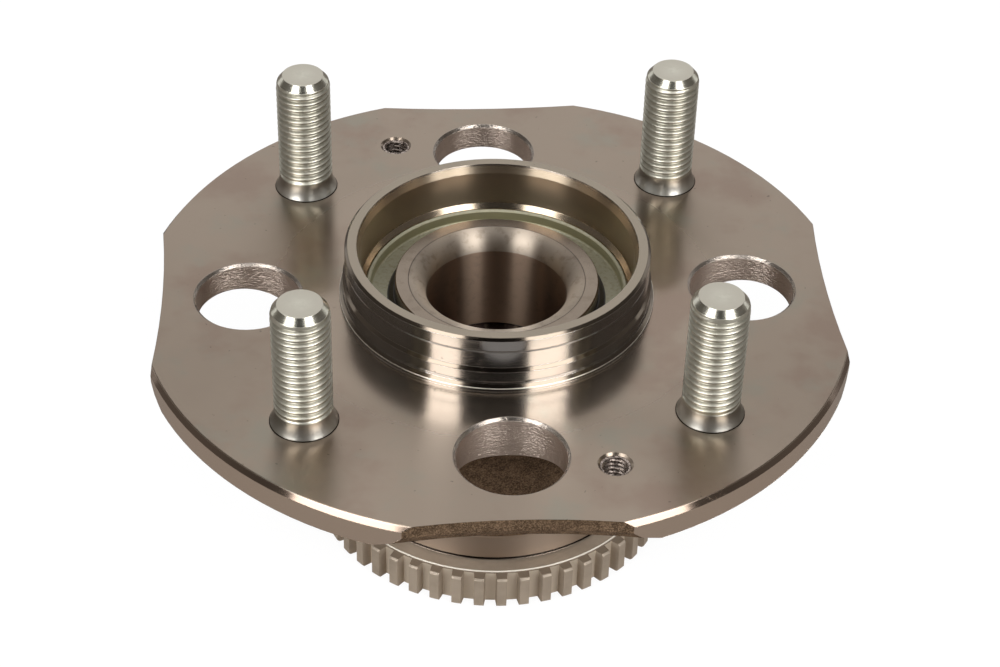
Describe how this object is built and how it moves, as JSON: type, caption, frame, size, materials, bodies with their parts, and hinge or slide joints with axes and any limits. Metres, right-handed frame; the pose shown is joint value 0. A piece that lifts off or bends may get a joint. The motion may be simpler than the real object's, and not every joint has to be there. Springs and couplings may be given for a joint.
{
  "type": "wheel hub bearing",
  "caption": "Flanged wheel hub turning on a double row angular contact ball bearing, with pressed wheel studs, a wheel pilot, lip seals and a toothed speed sensor ring.",
  "frame": {"origin": "on the bearing axis, in the plane of the flange's wheel face", "axes": "+Z along the bearing axis, outboard towards the wheel; the studs stand at 45 degrees to +X and +Y, and a large hole lies on each of them"},
  "size_m": [0.1432, 0.1439, 0.0842],
  "materials": {
    "forged_hub": "turned face and pilot, rough forged barrel",
    "sensor_ring": "sintered, satin",
    "stud_plating": "zinc plated",
    "bearing_ring": "ground",
    "ball_steel": "lapped",
    "cage_plastic": "moulded",
    "outboard_case": "pale green coating",
    "inboard_case": "pressed sheet",
    "slinger": "pressed stainless sheet",
    "seal_rubber": "moulded"
  },
  "bodies": {
    "inner_rings": {"inner_ring_outboard": "bearing_ring", "inner_ring_inboard": "bearing_ring", "slinger_inboard": "slinger"},
    "hub": {"hub_flange": "forged_hub", "tone_ring": "sensor_ring", "wheel_stud_1": "stud_plating", "wheel_stud_2": "stud_plating", "wheel_stud_3": "stud_plating", "wheel_stud_4": "stud_plating", "seal_case_outboard": "outboard_case", "seal_case_inboard": "inboard_case", "seal_lip_outboard": "seal_rubber", "seal_lip_inboard": "seal_rubber"},
    "cage_outboard": {"cage_outboard": "cage_plastic"},
    "cage_inboard": {"cage_inboard": "cage_plastic"},
    "ball_outboard_01": {"ball_outboard_01": "ball_steel"},
    "ball_outboard_02": {"ball_outboard_02": "ball_steel"},
    "ball_outboard_03": {"ball_outboard_03": "ball_steel"},
    "ball_outboard_04": {"ball_outboard_04": "ball_steel"},
    "ball_outboard_05": {"ball_outboard_05": "ball_steel"},
    "ball_outboard_06": {"ball_outboard_06": "ball_steel"},
    "ball_outboard_07": {"ball_outboard_07": "ball_steel"},
    "ball_outboard_08": {"ball_outboard_08": "ball_steel"},
    "ball_outboard_09": {"ball_outboard_09": "ball_steel"},
    "ball_outboard_10": {"ball_outboard_10": "ball_steel"},
    "ball_outboard_11": {"ball_outboard_11": "ball_steel"},
    "ball_outboard_12": {"ball_outboard_12": "ball_steel"},
    "ball_outboard_13": {"ball_outboard_13": "ball_steel"},
    "ball_inboard_01": {"ball_inboard_01": "ball_steel"},
    "ball_inboard_02": {"ball_inboard_02": "ball_steel"},
    "ball_inboard_03": {"ball_inboard_03": "ball_steel"},
    "ball_inboard_04": {"ball_inboard_04": "ball_steel"},
    "ball_inboard_05": {"ball_inboard_05": "ball_steel"},
    "ball_inboard_06": {"ball_inboard_06": "ball_steel"},
    "ball_inboard_07": {"ball_inboard_07": "ball_steel"},
    "ball_inboard_08": {"ball_inboard_08": "ball_steel"},
    "ball_inboard_09": {"ball_inboard_09": "ball_steel"},
    "ball_inboard_10": {"ball_inboard_10": "ball_steel"},
    "ball_inboard_11": {"ball_inboard_11": "ball_steel"},
    "ball_inboard_12": {"ball_inboard_12": "ball_steel"},
    "ball_inboard_13": {"ball_inboard_13": "ball_steel"}
  },
  "joints": [
    {"name": "hub_spin", "type": "hinge", "parent": "inner_rings", "child": "hub", "pos_m": [0, 0, 0], "axis": [0, 0, 1], "continuous": true},
    {"name": "cage_outboard_spin", "type": "hinge", "parent": "inner_rings", "child": "cage_outboard", "pos_m": [0, 0, -0.01075], "axis": [0, 0, 1], "continuous": true},
    {"name": "cage_inboard_spin", "type": "hinge", "parent": "inner_rings", "child": "cage_inboard", "pos_m": [0, 0, -0.03175], "axis": [0, 0, 1], "continuous": true},
    {"name": "ball_outboard_01_spin", "type": "hinge", "parent": "cage_outboard", "child": "ball_outboard_01", "pos_m": [0.0226, 0, -0.01075], "axis": [0.6428, 0, 0.766], "continuous": true},
    {"name": "ball_outboard_02_spin", "type": "hinge", "parent": "cage_outboard", "child": "ball_outboard_02", "pos_m": [0.02001, 0.0105, -0.01075], "axis": [0.5692, 0.2987, 0.766], "continuous": true},
    {"name": "ball_outboard_03_spin", "type": "hinge", "parent": "cage_outboard", "child": "ball_outboard_03", "pos_m": [0.01284, 0.0186, -0.01075], "axis": [0.3651, 0.529, 0.766], "continuous": true},
    {"name": "ball_outboard_04_spin", "type": "hinge", "parent": "cage_outboard", "child": "ball_outboard_04", "pos_m": [0.00272, 0.02244, -0.01075], "axis": [0.0775, 0.6381, 0.766], "continuous": true},
    {"name": "ball_outboard_05_spin", "type": "hinge", "parent": "cage_outboard", "child": "ball_outboard_05", "pos_m": [-0.00801, 0.02113, -0.01075], "axis": [-0.2279, 0.601, 0.766], "continuous": true},
    {"name": "ball_outboard_06_spin", "type": "hinge", "parent": "cage_outboard", "child": "ball_outboard_06", "pos_m": [-0.01692, 0.01499, -0.01075], "axis": [-0.4811, 0.4262, 0.766], "continuous": true},
    {"name": "ball_outboard_07_spin", "type": "hinge", "parent": "cage_outboard", "child": "ball_outboard_07", "pos_m": [-0.02195, 0.00541, -0.01075], "axis": [-0.6241, 0.1538, 0.766], "continuous": true},
    {"name": "ball_outboard_08_spin", "type": "hinge", "parent": "cage_outboard", "child": "ball_outboard_08", "pos_m": [-0.02195, -0.00541, -0.01075], "axis": [-0.6241, -0.1538, 0.766], "continuous": true},
    {"name": "ball_outboard_09_spin", "type": "hinge", "parent": "cage_outboard", "child": "ball_outboard_09", "pos_m": [-0.01692, -0.01499, -0.01075], "axis": [-0.4811, -0.4262, 0.766], "continuous": true},
    {"name": "ball_outboard_10_spin", "type": "hinge", "parent": "cage_outboard", "child": "ball_outboard_10", "pos_m": [-0.00801, -0.02113, -0.01075], "axis": [-0.2279, -0.601, 0.766], "continuous": true},
    {"name": "ball_outboard_11_spin", "type": "hinge", "parent": "cage_outboard", "child": "ball_outboard_11", "pos_m": [0.00272, -0.02244, -0.01075], "axis": [0.0775, -0.6381, 0.766], "continuous": true},
    {"name": "ball_outboard_12_spin", "type": "hinge", "parent": "cage_outboard", "child": "ball_outboard_12", "pos_m": [0.01284, -0.0186, -0.01075], "axis": [0.3651, -0.529, 0.766], "continuous": true},
    {"name": "ball_outboard_13_spin", "type": "hinge", "parent": "cage_outboard", "child": "ball_outboard_13", "pos_m": [0.02001, -0.0105, -0.01075], "axis": [0.5692, -0.2987, 0.766], "continuous": true},
    {"name": "ball_inboard_01_spin", "type": "hinge", "parent": "cage_inboard", "child": "ball_inboard_01", "pos_m": [0.0226, 0, -0.03175], "axis": [-0.6428, 0, 0.766], "continuous": true},
    {"name": "ball_inboard_02_spin", "type": "hinge", "parent": "cage_inboard", "child": "ball_inboard_02", "pos_m": [0.02001, 0.0105, -0.03175], "axis": [-0.5692, -0.2987, 0.766], "continuous": true},
    {"name": "ball_inboard_03_spin", "type": "hinge", "parent": "cage_inboard", "child": "ball_inboard_03", "pos_m": [0.01284, 0.0186, -0.03175], "axis": [-0.3651, -0.529, 0.766], "continuous": true},
    {"name": "ball_inboard_04_spin", "type": "hinge", "parent": "cage_inboard", "child": "ball_inboard_04", "pos_m": [0.00272, 0.02244, -0.03175], "axis": [-0.0775, -0.6381, 0.766], "continuous": true},
    {"name": "ball_inboard_05_spin", "type": "hinge", "parent": "cage_inboard", "child": "ball_inboard_05", "pos_m": [-0.00801, 0.02113, -0.03175], "axis": [0.2279, -0.601, 0.766], "continuous": true},
    {"name": "ball_inboard_06_spin", "type": "hinge", "parent": "cage_inboard", "child": "ball_inboard_06", "pos_m": [-0.01692, 0.01499, -0.03175], "axis": [0.4811, -0.4262, 0.766], "continuous": true},
    {"name": "ball_inboard_07_spin", "type": "hinge", "parent": "cage_inboard", "child": "ball_inboard_07", "pos_m": [-0.02195, 0.00541, -0.03175], "axis": [0.6241, -0.1538, 0.766], "continuous": true},
    {"name": "ball_inboard_08_spin", "type": "hinge", "parent": "cage_inboard", "child": "ball_inboard_08", "pos_m": [-0.02195, -0.00541, -0.03175], "axis": [0.6241, 0.1538, 0.766], "continuous": true},
    {"name": "ball_inboard_09_spin", "type": "hinge", "parent": "cage_inboard", "child": "ball_inboard_09", "pos_m": [-0.01692, -0.01499, -0.03175], "axis": [0.4811, 0.4262, 0.766], "continuous": true},
    {"name": "ball_inboard_10_spin", "type": "hinge", "parent": "cage_inboard", "child": "ball_inboard_10", "pos_m": [-0.00801, -0.02113, -0.03175], "axis": [0.2279, 0.601, 0.766], "continuous": true},
    {"name": "ball_inboard_11_spin", "type": "hinge", "parent": "cage_inboard", "child": "ball_inboard_11", "pos_m": [0.00272, -0.02244, -0.03175], "axis": [-0.0775, 0.6381, 0.766], "continuous": true},
    {"name": "ball_inboard_12_spin", "type": "hinge", "parent": "cage_inboard", "child": "ball_inboard_12", "pos_m": [0.01284, -0.0186, -0.03175], "axis": [-0.3651, 0.529, 0.766], "continuous": true},
    {"name": "ball_inboard_13_spin", "type": "hinge", "parent": "cage_inboard", "child": "ball_inboard_13", "pos_m": [0.02001, -0.0105, -0.03175], "axis": [-0.5692, 0.2987, 0.766], "continuous": true}
  ],
  "couplings": [
    {"joint": "cage_outboard_spin", "follows": "hub_spin", "ratio": 0.58071},
    {"joint": "cage_inboard_spin", "follows": "hub_spin", "ratio": 0.58071},
    {"joint": "ball_outboard_01_spin", "follows": "hub_spin", "ratio": 2.3111},
    {"joint": "ball_outboard_02_spin", "follows": "hub_spin", "ratio": 2.3111},
    {"joint": "ball_outboard_03_spin", "follows": "hub_spin", "ratio": 2.3111},
    {"joint": "ball_outboard_04_spin", "follows": "hub_spin", "ratio": 2.3111},
    {"joint": "ball_outboard_05_spin", "follows": "hub_spin", "ratio": 2.3111},
    {"joint": "ball_outboard_06_spin", "follows": "hub_spin", "ratio": 2.3111},
    {"joint": "ball_outboard_07_spin", "follows": "hub_spin", "ratio": 2.3111},
    {"joint": "ball_outboard_08_spin", "follows": "hub_spin", "ratio": 2.3111},
    {"joint": "ball_outboard_09_spin", "follows": "hub_spin", "ratio": 2.3111},
    {"joint": "ball_outboard_10_spin", "follows": "hub_spin", "ratio": 2.3111},
    {"joint": "ball_outboard_11_spin", "follows": "hub_spin", "ratio": 2.3111},
    {"joint": "ball_outboard_12_spin", "follows": "hub_spin", "ratio": 2.3111},
    {"joint": "ball_outboard_13_spin", "follows": "hub_spin", "ratio": 2.3111},
    {"joint": "ball_inboard_01_spin", "follows": "hub_spin", "ratio": 2.3111},
    {"joint": "ball_inboard_02_spin", "follows": "hub_spin", "ratio": 2.3111},
    {"joint": "ball_inboard_03_spin", "follows": "hub_spin", "ratio": 2.3111},
    {"joint": "ball_inboard_04_spin", "follows": "hub_spin", "ratio": 2.3111},
    {"joint": "ball_inboard_05_spin", "follows": "hub_spin", "ratio": 2.3111},
    {"joint": "ball_inboard_06_spin", "follows": "hub_spin", "ratio": 2.3111},
    {"joint": "ball_inboard_07_spin", "follows": "hub_spin", "ratio": 2.3111},
    {"joint": "ball_inboard_08_spin", "follows": "hub_spin", "ratio": 2.3111},
    {"joint": "ball_inboard_09_spin", "follows": "hub_spin", "ratio": 2.3111},
    {"joint": "ball_inboard_10_spin", "follows": "hub_spin", "ratio": 2.3111},
    {"joint": "ball_inboard_11_spin", "follows": "hub_spin", "ratio": 2.3111},
    {"joint": "ball_inboard_12_spin", "follows": "hub_spin", "ratio": 2.3111},
    {"joint": "ball_inboard_13_spin", "follows": "hub_spin", "ratio": 2.3111}
  ]
}
